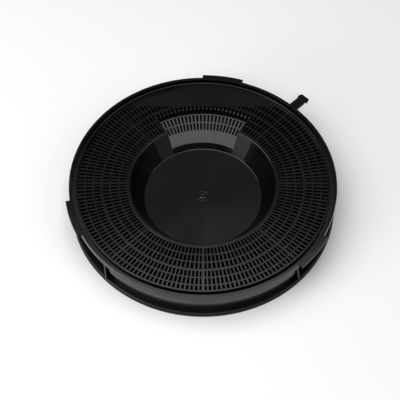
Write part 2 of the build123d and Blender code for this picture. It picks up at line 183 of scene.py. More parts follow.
class FilterCoverSizes(bpy.types.PropertyGroup):
    """Sizes of the motor side cover."""

    gap: length("Gap", "Between the rim and the cover's lip", 2.9)
    below_rim: length("Below rim", "From the rim's top down to the grille", 3.4)
    thick: length("Thickness", "Thickness of the grille", 1.6)
    lip_width: length("Lip width", "Width of the raised lip", 1.9)
    lip_height: length("Lip height", "How far the lip stands above the grille", 3.4)
    lip_round: length("Lip rounding", "Rounding of the lip's top edges", 0.4)
    lip_border: length("Lip border", "Plain strip inside the lip", 0.6)
    cup_radius: length("Cup radius", "Radius of the cup's mouth", 65.3)
    cup_taper: length("Cup taper", "How much narrower the cup's floor is", 11.7)
    cup_depth: length("Cup depth", "From the grille down to the cup's floor", 21.0)
    cup_wall: length("Cup wall", "Thickness of the cup's wall", 1.8)
    cup_edge: length("Cup edge", "Rounding of the cup's mouth", 0.6)
    cup_floor_round: length("Cup floor rounding", "Rounding between the cup's floor and its wall", 0.5)
    cup_foot_round: length("Cup foot rounding", "Rounding under the cup's floor", 1.0)
    cup_floor_edge: length("Cup floor edge", "From the disc in the cup's floor to the wall", 4.0)
    cup_border: length("Cup border", "From the cup's mouth to the first ring", 2.8)
    gate_ring: length("Gate ring", "Radius of the faint ring round the gate mark", 5.2)
    gate_ring_width: length("Gate ring width", "Width of that ring", 0.9)
    gate_ring_height: length("Gate ring height", "How far that ring stands up", 0.25)
    gate_nub: length("Gate nub", "Radius of the gate mark", 3.3)
    gate_nub_height: length("Gate nub height", "How far the gate mark stands up", 0.8)
    gate_hole: length("Gate hole", "Radius of the hole in the gate mark", 0.9)
    ring: length("Ring width", "Width of a ring between two rows of slots", 1.3)
    middle_ring: length("Middle ring width", "Width of the thick ring in the middle", 2.2)
    rib: length("Sector rib width", "Width of the eight thick ribs", 2.5)
    rows: count("Rows", "Rows of slots from the cup to the lip", 6)
    sectors: count("Sectors", "Sectors between the thick ribs", 8)
    inner_bars: count("Inner bars", "Bars in a sector of the three inner rows", 18)
    outer_bars: count("Outer bars", "Bars in a sector of the three outer rows", 22)
    slot_edge: length("Slot edge", "Rounding of the edges round a slot", 0.1)
    bar_share: number("Bar share", "Share of the pitch that a bar takes up", 0.4)
    past_ring: length("Plain segment", "From the second ring to the plain segment's straight edge", 4.2)
    ramp_span: turn("Ramp span", "Width of the sunken ramp", 60.0)
    ramp_step_inset: length("Step inset", "From the plain segment's edge to the ramp's step", 0.6)
    ramp_step_run: length("Step run", "Horizontal run of the ramp's step", 3.3)
    ramp_top_drop: length("Ramp top drop", "From the grille down to the ramp's top", 6.2)
    ramp_foot_drop: length("Ramp foot drop", "From the grille down to the ramp's foot", 15.2)
    ramp_thick: length("Ramp thickness", "Thickness of the ramp and of the bars in it", 1.3)
    ramp_lap: length("Ramp lap", "From the ramp's foot to its first strip", 2.0)
    ramp_foot_round: length("Ramp foot rounding", "Rounding where the ramp meets the cup", 0.5)
    ramp_side_round: length("Ramp side rounding", "Rounding of the ramp's side walls", 0.15)
    step_slant: length("Step slant", "Run of the slanted top of the step's bars", 2.4)
    step_slant_drop: length("Step slant drop", "How far that slanted top comes down", 1.6)
    step_round: length("Step rounding", "Reach of the roundings at the slanted top's ends", 0.8)


class FilterFillingSizes(bpy.types.PropertyGroup):
    """Sizes of the fleeces round the carbon."""

    clearance: length("Clearance", "Between the filling and the mouldings", 0.6)
    uneven: length("Unevenness", "How far the fleece's faces sink in", 0.25)
    patch: length("Patch", "Size of one uneven patch of fleece", 9.0)
    rings: count("Rings", "Steps of the fleece's mesh along its width", 10)


class FilterFinish(bpy.types.PropertyGroup):
    """Colours and gloss of the filter."""

    plastic: colour("Plastic", "Colour of the moulded plastic", (0.0012, 0.0012, 0.0011))
    sheen: colour("Reflection tint", "Faint tint of the plastic's reflections", (1.0, 1.0, 0.955))
    gloss: number("Roughness", "Roughness of the moulded plastic", 0.145)
    smoother: number("Smoother", "How far the flow marks lower the roughness", 0.03)
    rougher: number("Rougher", "How far the flow marks raise the roughness", 0.05)
    casing_ior: number("Casing IOR", "Index of refraction of the casing", 1.39)
    cover_ior: number("Cover IOR", "Index of refraction of the cover", 1.45)
    grain: number("Grain", "Strength of the mould's fine grain", 0.06)
    fleece: colour("Fleece", "Colour of the nonwoven", (0.0008, 0.0008, 0.0008))
    carbon: colour("Carbon", "Colour of the granules", (0.0014, 0.0014, 0.0015))
    wall_gloss: number("Wall roughness", "Roughness of the casing's satin side wall", 0.34)
    panel_gloss: number("Panel roughness", "Roughness of the cup's matt panels beside the ramp", 0.6)
    panel: turn("Panel", "Width of each matt panel beside the ramp", 14.0)


class FilterStudio(bpy.types.PropertyGroup):
    """Studio round the filter."""

    floor: colour("Floor", "Colour of the pale floor", (0.79, 0.79, 0.79))
    floor_radius: length("Floor radius", "Radius of the floor disc", 4000.0)
    surround: number("Surround", "Brightness of the dim room", 0.05)
    key: number("Overhead light", "Power of the large overhead light", 46.0)
    fill: number("Right fill", "Power of the soft fill light from the right", 11.0)
    card: number("Low card", "Power of the low light card at the near left", 12.0)
    glow: number("Far glow", "Power of the dim light from the far wall", 2.4)
    focal: number("Focal length", "Focal length in millimetres", 109.05)
    distance: length("Camera distance", "From the camera to its target", 1077.2)
    elevation: turn("Camera elevation", "How steeply the camera looks down", 55.6875)


# From here on c holds the casing's sizes, v the cover's, f the filling's and d the derived ones
def derived(scene):
    """Radii and heights that several pieces share, worked out from the sizes."""
    c, v = scene.filter_casing, scene.filter_cover
    d = SimpleNamespace()
    d.grille = c.height - v.below_rim
    d.under = d.grille - v.thick
    d.rim_inner = c.radius - c.rim_wall
    d.cover_r = d.rim_inner - v.gap
    d.ledge_r = d.rim_inner - c.ledge_width
    d.ledge_under = d.under - c.ledge_thick
    d.waist_r = c.radius - c.waist_inset
    d.recess_r = c.radius - c.recess_depth
    d.band_under = c.height - c.band
    d.cup_floor_r = v.cup_radius - v.cup_taper
    d.cup_floor = d.grille - v.cup_depth
    d.cup_under = d.cup_floor - v.cup_wall
    d.spigot_r = d.cup_floor_r - c.spigot_inset
    d.first_ring = v.cup_radius + v.cup_border
    d.pitch = (d.cover_r - v.lip_width / 2 - d.first_ring) / v.rows
    d.grille_r = d.cover_r - v.lip_width - v.lip_border
    d.segment_y = d.first_ring + 2 * d.pitch + v.past_ring
    d.step_r = d.segment_y - v.ramp_step_inset
    d.ramp_top_r = d.step_r - v.ramp_step_run
    d.ramp_top = d.grille - v.ramp_top_drop
    d.ramp_foot = d.grille - v.ramp_foot_drop
    d.ramp_foot_r = cup_radius(v, d, d.ramp_foot)
    d.ramp_start = pi / 2 - v.ramp_span / 2
    d.ramp_slope = (d.ramp_top - d.ramp_foot) / (d.ramp_top_r - d.ramp_foot_r)
    return d


def cup_radius(v, d, height):
    """Radius of the cup's conical wall at a height."""
    return d.cup_floor_r + (height - d.cup_floor) / v.cup_depth * v.cup_taper


def join_to(target, part):
    """Moves a finished part into a piece's mesh."""
    mesh = bpy.data.meshes.new("part")
    part.to_mesh(mesh)
    part.free()
    target.from_mesh(mesh)
    bpy.data.meshes.remove(mesh)


def turn_round(part, verts, angle):
    """Turns some points of a part round the axis."""
    bmesh.ops.rotate(part, verts=verts, cent=(0, 0, 0), matrix=Matrix.Rotation(angle, 3, "Z"))


def place(target, part, angle):
    """Turns a part to its angle and adds it."""
    turn_round(part, part.verts, angle)
    join_to(target, part)


def face_outwards(part):
    """Turns the faces of a closed part outwards."""
    bmesh.ops.recalc_face_normals(part, faces=part.faces)


def thicken(part, way):
    """Makes a flat part solid, along a vector."""
    grown = bmesh.ops.extrude_face_region(part, geom=part.faces[:])["geom"]
    moved = [v for v in grown if isinstance(v, bmesh.types.BMVert)]
    bmesh.ops.translate(part, verts=moved, vec=way)


def cut_at(part, y, keep_near):
    """Cuts a part straight across, keeps its near or its far side and tells what lies on the cut."""
    return bmesh.ops.bisect_plane(
        part, geom=part.verts[:] + part.edges[:] + part.faces[:], plane_co=(0, y, 0),
        plane_no=(0, 1, 0), clear_outer=keep_near, clear_inner=not keep_near,
    )["geom_cut"]


def rounded_section(part, section, rounds, segments):
    """A closed (radius, height) section in the XZ plane. Rounds maps a corner's place to a size."""
    corners = [part.verts.new((radius, 0.0, height)) for radius, height in section]
    part.faces.new(corners)
    for size in sorted(set(rounds.values())):
        picked = [corners[i] for i, value in rounds.items() if value == size]
        bmesh.ops.bevel(
            part, geom=picked, offset=size, offset_type="OFFSET", segments=segments,
            profile=0.5, affect="VERTICES", material=-1,
        )


def turned(target, section, rounds=None, start=0.0, span=tau, segments=3):
    """Adds the solid that a section sweeps round the axis, with closed ends if it is only a sector."""
    part = bmesh.new()
    rounded_section(part, section, rounds or {}, segments)
    whole = span >= tau - TINY
    if whole:
        bmesh.ops.delete(part, geom=part.faces[:], context="FACES_ONLY")
    turn_round(part, part.verts, start)
    bmesh.ops.spin(
        part, geom=part.faces[:] + part.edges[:] + part.verts[:], cent=(0, 0, 0), axis=(0, 0, 1),
        angle=span, steps=max(1, round(STEPS_ROUND * span / tau)), use_merge=whole,
    )
    bmesh.ops.remove_doubles(part, verts=part.verts, dist=TINY)
    bmesh.ops.delete(part, geom=[e for e in part.edges if e.is_wire], context="EDGES")
    face_outwards(part)
    join_to(target, part)


def hoop(target, inner, outer, bottom, top, rounds=None, start=0.0, span=tau, segments=3):
    """Adds a hoop, or a stretch of one, with an upright rectangle as its section."""
    section = [(inner, bottom), (outer, bottom), (outer, top), (inner, top)]
    turned(target, section, rounds, start, span, segments)


def plate(target, outline, thick, angle=0.0, edge=0.0, lean=0.0, rounds=None):
    """Adds a flat plate along a radius, from its (radius, height) outline. It may lean sideways."""
    part = bmesh.new()
    rounded_section(part, outline, rounds or {}, segments=8)
    bmesh.ops.translate(part, verts=part.verts, vec=(0, -thick / 2, 0))
    thicken(part, (0, thick, 0))
    if edge:
        bevel_edges(part, part.edges[:], edge)
    middle = sum(height for _, height in outline) / len(outline)
    sheared = Matrix(((1, 0, 0, 0), (0, 1, -lean, lean * middle), (0, 0, 1, 0), (0, 0, 0, 1)))
    bmesh.ops.transform(part, matrix=sheared, verts=part.verts)
    face_outwards(part)
    place(target, part, angle)


def bevel_edges(part, edges, size, segments=2):
    """Rounds some edges of a part."""
    bmesh.ops.bevel(
        part, geom=edges, offset=size, offset_type="OFFSET", segments=segments,
        profile=0.5, affect="EDGES", material=-1,
    )


def bar(inner, outer, top, width_in, width_out, depth, edge, slope=0.0):
    """One bar of a grille along +X with rounded top edges. It may slope down from its outer end."""
    part = bmesh.new()
    bmesh.ops.create_cube(part, size=1.0)
    bmesh.ops.scale(part, verts=part.verts, vec=(outer - inner, 1.0, depth))
    middle = (inner + outer) / 2
    bmesh.ops.translate(part, verts=part.verts, vec=(middle, 0.0, top - depth / 2))
    bmesh.ops.scale(part, verts=[v for v in part.verts if v.co.x < middle], vec=(1.0, width_in, 1.0))
    bmesh.ops.scale(part, verts=[v for v in part.verts if v.co.x > middle], vec=(1.0, width_out, 1.0))
    upper = [e for e in part.edges if min(v.co.z for v in e.verts) > top - depth / 2]
    long_edges = [e for e in upper if abs(e.verts[0].co.x - e.verts[1].co.x) > (outer - inner) / 2]
    bevel_edges(part, long_edges, edge)
    sheared = Matrix(((1, 0, 0, 0), (0, 1, 0, 0), (slope, 0, 1, -slope * outer), (0, 0, 0, 1)))
    bmesh.ops.transform(part, matrix=sheared, verts=part.verts)
    return part


def finish_piece(bm, name, material, node):
    """Turns a finished mesh into an object that stands for a node of the frame."""
    if not bm.faces:
        raise RuntimeError(f"{name} came out empty")
    mesh = bpy.data.meshes.new(name)
    bm.to_mesh(mesh)
    bm.free()
    mesh.materials.append(material)
    mesh.shade_smooth()
    mesh.set_sharp_from_angle(angle=SHARP_ANGLE)
    piece = bpy.data.objects.new(name, mesh)
    bpy.context.scene.collection.objects.link(piece)
    weighted = piece.modifiers.new("flat_faces_stay_flat", "WEIGHTED_NORMAL")
    weighted.keep_sharp = True
    with bpy.context.temp_override(object=piece, active_object=piece):
        bpy.ops.object.modifier_apply(modifier=weighted.name)
    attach(piece, "root")
    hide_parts(node)


def new_material(name):
    """An empty node material, with its shader and Object coordinates."""
    material = bpy.data.materials.new(name)
    material.use_nodes = True
    tree = material.node_tree
    shader = tree.nodes["Principled BSDF"]
    where = tree.nodes.new("ShaderNodeTexCoord").outputs["Object"]
    return material, tree, shader, where


def noise(tree, where, scale, detail=2.0, roughness=0.5):
    """A noise texture on given coordinates."""
    node = tree.nodes.new("ShaderNodeTexNoise")
    node.inputs["Scale"].default_value = scale
    node.inputs["Detail"].default_value = detail
    node.inputs["Roughness"].default_value = roughness
    tree.links.new(where, node.inputs["Vector"])
    return node.outputs["Fac"]


def spread(tree, value, low, high):
    """Maps a noise value on to a range."""
    node = tree.nodes.new("ShaderNodeMapRange")
    node.inputs["From Min"].default_value = 0.3
    node.inputs["From Max"].default_value = 0.7
    node.inputs["To Min"].default_value = low
    node.inputs["To Max"].default_value = high
    tree.links.new(value, node.inputs["Value"])
    return node.outputs["Result"]


def bump(tree, height, strength, distance, under=None):
    """A bump node, on top of another one if there is one."""
    node = tree.nodes.new("ShaderNodeBump")
    node.inputs["Strength"].default_value = strength
    node.inputs["Distance"].default_value = distance
    tree.links.new(height, node.inputs["Height"])
    if under is not None:
        tree.links.new(under, node.inputs["Normal"])
    return node.outputs["Normal"]


def tinted(tree, value, low, high):
    """A colour that drifts between two shades with a noise value."""
    node = tree.nodes.new("ShaderNodeMix")
    node.data_type = "RGBA"
    node.inputs["A"].default_value = (*low, 1.0)
    node.inputs["B"].default_value = (*high, 1.0)
    tree.links.new(value, node.inputs["Factor"])
    return node.outputs["Result"]


def moulded_plastic(name, finish, ior):
    """Black moulded plastic: cloudy flow marks in the gloss and the mould's fine grain."""
    material, tree, shader, where = new_material(name)
    lighter = [1.7 * part for part in finish.plastic]
    cloud = noise(tree, where, scale=22.0, detail=4.0, roughness=0.6)
    tree.links.new(tinted(tree, cloud, finish.plastic, lighter), shader.inputs["Base Color"])
    gloss = spread(tree, cloud, finish.gloss - finish.smoother, finish.gloss + finish.rougher)
    tree.links.new(gloss, shader.inputs["Roughness"])
    fine = bump(tree, noise(tree, where, scale=2600.0), finish.grain, distance=0.00004)
    wave = bump(tree, noise(tree, where, scale=38.0), strength=0.10, distance=0.0006, under=fine)
    tree.links.new(wave, shader.inputs["Normal"])
    shader.inputs["IOR"].default_value = ior
    shader.inputs["Specular Tint"].default_value = (*finish.sheen, 1.0)
    return material


def matt_panels(material, finish, d, v):
    """Makes the cup's wall matt beside the ramp, over the panels' width on both sides."""
    tree = material.node_tree
    x, y, z = place_of(tree)
    across = calc(tree, "ABSOLUTE", calc(tree, "ARCTAN2", x, y))
    square = calc(tree, "ADD", calc(tree, "MULTIPLY", x, x), calc(tree, "MULTIPLY", y, y))
    inside = calc(tree, "LESS_THAN", square, v.cup_radius ** 2)
    beyond = calc(tree, "GREATER_THAN", across, v.ramp_span / 2)
    within = calc(tree, "LESS_THAN", across, v.ramp_span / 2 + finish.panel)
    above = calc(tree, "GREATER_THAN", z, d.cup_floor + EDGE)
    beside = calc(tree, "MULTIPLY", beyond, within)
    on_wall = calc(tree, "MULTIPLY", inside, above)
    roughen(tree, calc(tree, "MULTIPLY", on_wall, beside), finish.panel_gloss)


def satin_wall(material, finish, c):
    """Makes the casing's side wall satin below its glossy rim."""
    tree = material.node_tree
    below = spread(tree, place_of(tree)[2], 1.0, 0.0)
    band = below.node
    band.inputs["From Min"].default_value = c.height - c.band
    band.inputs["From Max"].default_value = c.height
    roughen(tree, below, finish.wall_gloss)


def place_of(tree):
    """The three Object coordinates of a material."""
    parts = tree.nodes.new("ShaderNodeSeparateXYZ")
    tree.links.new(tree.nodes["Texture Coordinate"].outputs["Object"], parts.inputs["Vector"])
    return parts.outputs["X"], parts.outputs["Y"], parts.outputs["Z"]


def calc(tree, kind, *values):
    """A math node on sockets or plain numbers."""
    node = tree.nodes.new("ShaderNodeMath")
    node.operation = kind
    for socket, value in zip(node.inputs, values):
        if isinstance(value, float):
            socket.default_value = value
        else:
            tree.links.new(value, socket)
    return node.outputs["Value"]


def roughen(tree, mask, gloss):
    """Mixes another roughness into a material where a mask is one."""
    rough = tree.nodes["Principled BSDF"].inputs["Roughness"]
    mixed = tree.nodes.new("ShaderNodeMix")
    tree.links.new(mask, mixed.inputs["Factor"])
    tree.links.new(rough.links[0].from_socket, mixed.inputs["A"])
    mixed.inputs["B"].default_value = gloss
    tree.links.new(mixed.outputs["Result"], rough)


def nonwoven(name, shade):
    """Black needled fleece: matted fibres in two directions."""
    material, tree, shader, where = new_material(name)
    stretched = tree.nodes.new("ShaderNodeMapping")
    stretched.inputs["Scale"].default_value = (1.0, 0.18, 1.0)
    tree.links.new(where, stretched.inputs["Vector"])
    fibres = noise(tree, stretched.outputs["Vector"], scale=1500.0, detail=4.0, roughness=0.7)
    mat = noise(tree, where, scale=420.0, detail=3.0, roughness=0.6)
    lighter = [2.2 * part for part in shade]
    tree.links.new(tinted(tree, fibres, shade, lighter), shader.inputs["Base Color"])
    matted = bump(tree, fibres, strength=0.7, distance=0.0002)
    felt = bump(tree, mat, strength=0.6, distance=0.0004, under=matted)
    tree.links.new(felt, shader.inputs["Normal"])
    shader.inputs["Roughness"].default_value = 0.95
    shader.inputs["Specular IOR Level"].default_value = 0.0
    return material


def granules(name, shade):
    """Activated carbon granules: cracked cells with dull facets."""
    material, tree, shader, where = new_material(name)
    cells = tree.nodes.new("ShaderNodeTexVoronoi")
    cells.inputs["Scale"].default_value = 420.0
    tree.links.new(where, cells.inputs["Vector"])
    lighter = [3.0 * part for part in shade]
    crack = cells.outputs["Distance"]
    tree.links.new(tinted(tree, crack, lighter, shade), shader.inputs["Base Color"])
    tree.links.new(bump(tree, crack, strength=0.9, distance=0.0012), shader.inputs["Normal"])
    shader.inputs["Roughness"].default_value = 0.6
    shader.inputs["Specular IOR Level"].default_value = 0.1
    return material


def floor_paint(name, shade):
    """Pale matt floor with the faintest unevenness."""
    material, tree, shader, where = new_material(name)
    darker = [0.985 * part for part in shade]
    clouds = noise(tree, where, scale=3.0)
    tree.links.new(tinted(tree, clouds, darker, shade), shader.inputs["Base Color"])
    shader.inputs["Roughness"].default_value = 0.8
    shader.inputs["Specular IOR Level"].default_value = 0.1
    return material


def spans_between(c):
    """Start and span of each recess, and of each stretch of plain wall between two recesses."""
    recesses = []
    for angle in TAB_ANGLES:
        start = radians(angle) - c.tab_span / 2 + c.recess_start
        recesses.append((start, c.tab_span - c.recess_start + c.after_tab))
    walls = []
    for i, (start, span) in enumerate(recesses):
        end = start + span + c.pocket
        following = recesses[(i + 1) % len(recesses)][0] - c.pocket
        if following < end:
            following += tau
        walls.append((end, following - end))
    return recesses, walls


def add_wall(bm, c, d):
    """Rim band, cover ledge, waisted wall between the recesses, and stepped flange."""
    r, w = c.radius, c.wall
    rounds = {1: EDGE, 2: c.rim_round, 3: c.rim_inner_round}
    hoop(bm, d.rim_inner, r, d.band_under, c.height, rounds, segments=4)
    hoop(bm, d.ledge_r, r - w / 2, d.ledge_under, d.under - HAIR)
    in_band = d.band_under + WELD
    wall = [
        (d.waist_r - w, c.floor / 2), (d.waist_r, c.floor / 2), (d.waist_r, c.waist_low), (r, c.waist_top),
        (r, in_band), (r - w, in_band), (r - w, c.waist_top), (d.waist_r - w, c.waist_low),
    ]
    bends = {2: c.foot_bend, 3: c.top_bend, 6: c.top_bend, 7: c.foot_bend}
    _, walls = spans_between(c)
    for start, span in walls:
        turned(bm, wall, bends, start, span, segments=8)
    step = c.flange_step
    flange = [
        (d.recess_r - w, 0.0), (r, 0.0), (r, c.flange / 2), (r - step, c.flange / 2), (r - step, c.flange),
        (d.waist_r - w / 2, c.flange), (d.waist_r - w / 2, c.floor), (d.recess_r - w, c.floor),
    ]
    turned(bm, flange, {1: c.flange_foot, 2: c.flange_lip, 4: c.flange_round})


def add_recess(bm, c, d, start, span):
    """Set-back wall, shelf under the rim, webs at both ends and the walls that close the casing."""
    back = d.recess_r - c.wall
    first, wide = start - c.pocket, span + 2 * c.pocket
    low, shelf, foot = c.floor / 2, d.rim_inner + LAP, d.waist_r - WELD
    boxes = ((d.recess_r, low, d.under), (shelf, d.ledge_under, d.under), (foot, low, c.flange))
    for outer, bottom, top in boxes:
        hoop(bm, back, outer, bottom, top, None, first, wide)
    face, root, in_band = c.radius - c.web_inset, back + c.wall / 2, d.band_under + SINK
    stepped = face - c.flange_step
    web = [
        (root, c.floor), (stepped, c.floor), (stepped, c.flange), (face, c.flange + WELD), (face, in_band),
        (root, in_band),
    ]
    plate(bm, web, c.web, start, c.web_round, c.web_lean)
    plate(bm, web, c.web, start + span, c.web_round)
    narrow, broad = d.waist_r - 2 * HAIR, c.radius - 2 * HAIR
    cap = [
        (back, low), (narrow, low), (narrow, c.waist_low), (broad, c.waist_top), (broad, d.band_under + HAIR),
        (back, d.under),
    ]
    half = c.wall / 2 / d.recess_r
    for angle in (first - half, first + wide + half):
        plate(bm, cap, c.wall, angle, rounds={2: c.foot_bend, 3: c.top_bend})


def add_tab(bm, c, d, angle):
    """One bayonet tab on the rim, with rounded outer edges."""
    top = c.height - c.tab_drop
    root, reach = c.radius - c.rim_wall / 2, c.radius + c.tab_reach
    rounds = {1: c.tab_low_round, 2: c.tab_top_round}
    start = radians(angle) - c.tab_span / 2
    hoop(bm, root, reach, top - c.tab_thick, top, rounds, start, c.tab_span)


def add_lever(bm, c):
    """Flat finger lever: stem, barbed head and the ribs of its pad."""
    root = c.radius - c.rim_wall / 2
    tip = c.radius + c.lever_reach
    neck = tip - c.lever_head_length
    half, head = c.lever_width / 2, c.lever_head / 2
    cut = c.lever_head_length / 4
    groove = neck - c.lever_groove
    waist = half - c.lever_groove / 2
    side = [
        (root, half), (groove - cut, half), (groove, waist), (neck, waist), (neck, head), (tip, head - cut),
    ]
    outline = [(x, -y) for x, y in side] + side[::-1]
    top = c.height - c.tab_drop
    part = bmesh.new()
    part.faces.new([part.verts.new((x, y, top - c.lever_thick)) for x, y in outline])
    thicken(part, (0, 0, c.lever_thick))
    bevel_edges(part, part.edges[:], c.lever_round)
    for i in range(c.pad_ribs):
        rib = bmesh.ops.create_cube(part, size=1.0)["verts"]
        bmesh.ops.scale(part, verts=rib, vec=(c.pad_rib, c.lever_width * c.pad_share, c.pad_height * 2))
        bmesh.ops.translate(part, verts=rib, vec=(neck - (i + 0.5) * c.pad_pitch, 0.0, top))
    face_outwards(part)
    place(bm, part, c.lever_angle)


def add_floor_grille(bm, c, v, d):
    """Room side grille: a plain disc, rows of bars between rings, a border and eight ribs."""
    start_r = d.spigot_r + c.grille_start
    border = c.radius - c.grille_border
    pitch = (border + c.grille_ring - start_r) / c.grille_rows
    hoop(bm, 0.0, start_r, 0.0, c.floor, {1: EDGE})
    for row in range(1, c.grille_rows):
        outer = start_r + row * pitch
        hoop(bm, outer - c.grille_ring, outer, 0.0, c.floor, {0: EDGE, 1: EDGE})
    hoop(bm, border, d.recess_r, 0.0, c.floor, {0: EDGE})
    hoop(bm, d.spigot_r - c.spigot_wall, d.spigot_r, c.floor / 2, d.cup_under)
    sector = tau / v.sectors
    step = sector / c.grille_bars
    upside_down = Matrix.Rotation(pi, 3, "X")
    for row in range(c.grille_rows):
        inner = start_r + row * pitch - SINK
        outer = inner + pitch - c.grille_ring + 2 * SINK
        for i in range(c.grille_bars):
            wide = [c.grille_rib if i == 0 else step * r * c.grille_share for r in (inner, outer)]
            one = bar(inner, outer, c.floor, *wide, c.floor, EDGE)
            bmesh.ops.rotate(one, verts=one.verts, cent=(0, 0, c.floor / 2), matrix=upside_down)
            face_outwards(one)
            bmesh.ops.spin(
                one, geom=one.faces[:] + one.edges[:] + one.verts[:], cent=(0, 0, 0), axis=(0, 0, 1),
                angle=sector * (v.sectors - 1), steps=v.sectors - 1, use_duplicate=True,
            )
            place(bm, one, i * step)


def row_limits(v, d, row):
    """Inner and outer radius of the slots of a row."""
    middle = v.rows // 2
    inner = d.first_ring + row * d.pitch + v.ring / 2
    outer = d.first_ring + (row + 1) * d.pitch - v.ring / 2
    extra = (v.middle_ring - v.ring) / 2
    if row == middle - 1:
        outer -= extra
    if row == middle:
        inner += extra
    return inner, min(outer, d.grille_r)


def add_flat_grille(bm, v, d):
    """Rings and bars of the flat grille, with the eight thick ribs, cut off at the plain segment."""
    part = bmesh.new()
    middle = v.rows // 2
    ramp_end = d.ramp_start + v.ramp_span
    for row in range(1, v.rows):
        centre = d.first_ring + row * d.pitch
        half = (v.middle_ring if row == middle else v.ring) / 2
        start, span = (ramp_end, tau - v.ramp_span) if row < middle else (0.0, tau)
        rounds = {2: v.slot_edge, 3: v.slot_edge}
        hoop(part, centre - half, centre + half, d.under, d.grille, rounds, start, span, segments=2)
    bar_top, rib_top = d.grille - BAR_DROP, d.grille - HAIR
    for row in range(v.rows):
        inner, outer = row_limits(v, d, row)
        bars = v.inner_bars if row < middle else v.outer_bars
        step = tau / v.sectors / bars
        for i in range(bars * v.sectors):
            angle = i * step
            start_r = inner
            if row < middle and d.ramp_start < angle < ramp_end:
                if row < middle - 1:
                    continue
                start_r = d.step_r
            if i % bars == 0:
                one = bar(start_r - SINK, outer + SINK, rib_top, v.rib, v.rib, v.thick, v.slot_edge)
            else:
                wide = (step * start_r * v.bar_share, step * outer * v.bar_share)
                one = bar(start_r - SINK, outer + SINK, bar_top, *wide, v.thick, v.slot_edge)
            place(part, one, angle)
    cut_at(part, d.segment_y, keep_near=True)
    join_to(bm, part)


def add_segment(bm, v, d):
    """The plain smooth segment at the far edge of the grille."""
    part = bmesh.new()
    bmesh.ops.create_circle(part, cap_ends=True, radius=d.grille_r + LAP, segments=STEPS_ROUND)
    bmesh.ops.translate(part, verts=part.verts, vec=(0, 0, d.under))
    thicken(part, (0, 0, v.thick))
    cut = cut_at(part, d.segment_y, keep_near=False)
    bmesh.ops.edgeloop_fill(part, edges=[x for x in cut if isinstance(x, bmesh.types.BMEdge)])
    face_outwards(part)
    join_to(bm, part)


def add_lip(bm, v, d):
    """Raised lip round the grille, with the plain strip inside it."""
    lip_in = d.cover_r - v.lip_width
    top = d.grille + v.lip_height
    strip = d.grille + FILM
    section = [
        (d.grille_r, d.under), (d.cover_r, d.under), (d.cover_r, top), (lip_in, top), (lip_in, strip),
        (d.grille_r, strip),
    ]
    turned(bm, section, {2: v.lip_round, 3: v.lip_round, 5: v.lip_round / 2}, segments=4)


def add_cup(bm, v, d):
    """The cup: floor with its gate mark, conical wall and rounded mouth, left open at the ramp."""
    inside = d.cup_floor_r - v.cup_floor_edge
    under_r = cup_radius(v, d, d.cup_under) + CUP_SKIN
    hoop(bm, 0.0, inside, d.cup_under, d.cup_floor)
    ring_out = d.first_ring + v.ring / 2
    wall = [
        (inside, d.cup_under), (under_r, d.cup_under), (cup_radius(v, d, d.under) + CUP_SKIN, d.under),
        (ring_out, d.under), (ring_out, d.grille), (v.cup_radius, d.grille), (d.cup_floor_r, d.cup_floor),
        (inside, d.cup_floor),
    ]
    rounds = {1: v.cup_foot_round, 4: EDGE, 5: v.cup_edge, 6: v.cup_floor_round}
    turned(bm, wall, rounds, d.ramp_start + v.ramp_span, tau - v.ramp_span, segments=5)
    skin_r = d.ramp_foot_r + CUP_SKIN
    lower = [
        (inside, d.cup_under), (under_r, d.cup_under), (skin_r, d.ramp_foot - v.ramp_thick),
        (skin_r, d.ramp_foot + CUP_SKIN * d.ramp_slope), (d.ramp_foot_r, d.ramp_foot),
        (d.cup_floor_r, d.cup_floor), (inside, d.cup_floor),
    ]
    turned(bm, lower, {4: v.ramp_foot_round, 5: v.cup_floor_round}, d.ramp_start, v.ramp_span, segments=5)
    sunk = d.cup_floor - v.cup_wall / 2
    half, low, high = v.gate_ring_width / 2, v.gate_ring_height, v.gate_nub_height
    hoop(bm, v.gate_ring - half, v.gate_ring + half, sunk, d.cup_floor + low, {2: low, 3: low})
    hoop(bm, v.gate_hole, v.gate_nub, sunk, d.cup_floor + high, {2: high, 3: low})


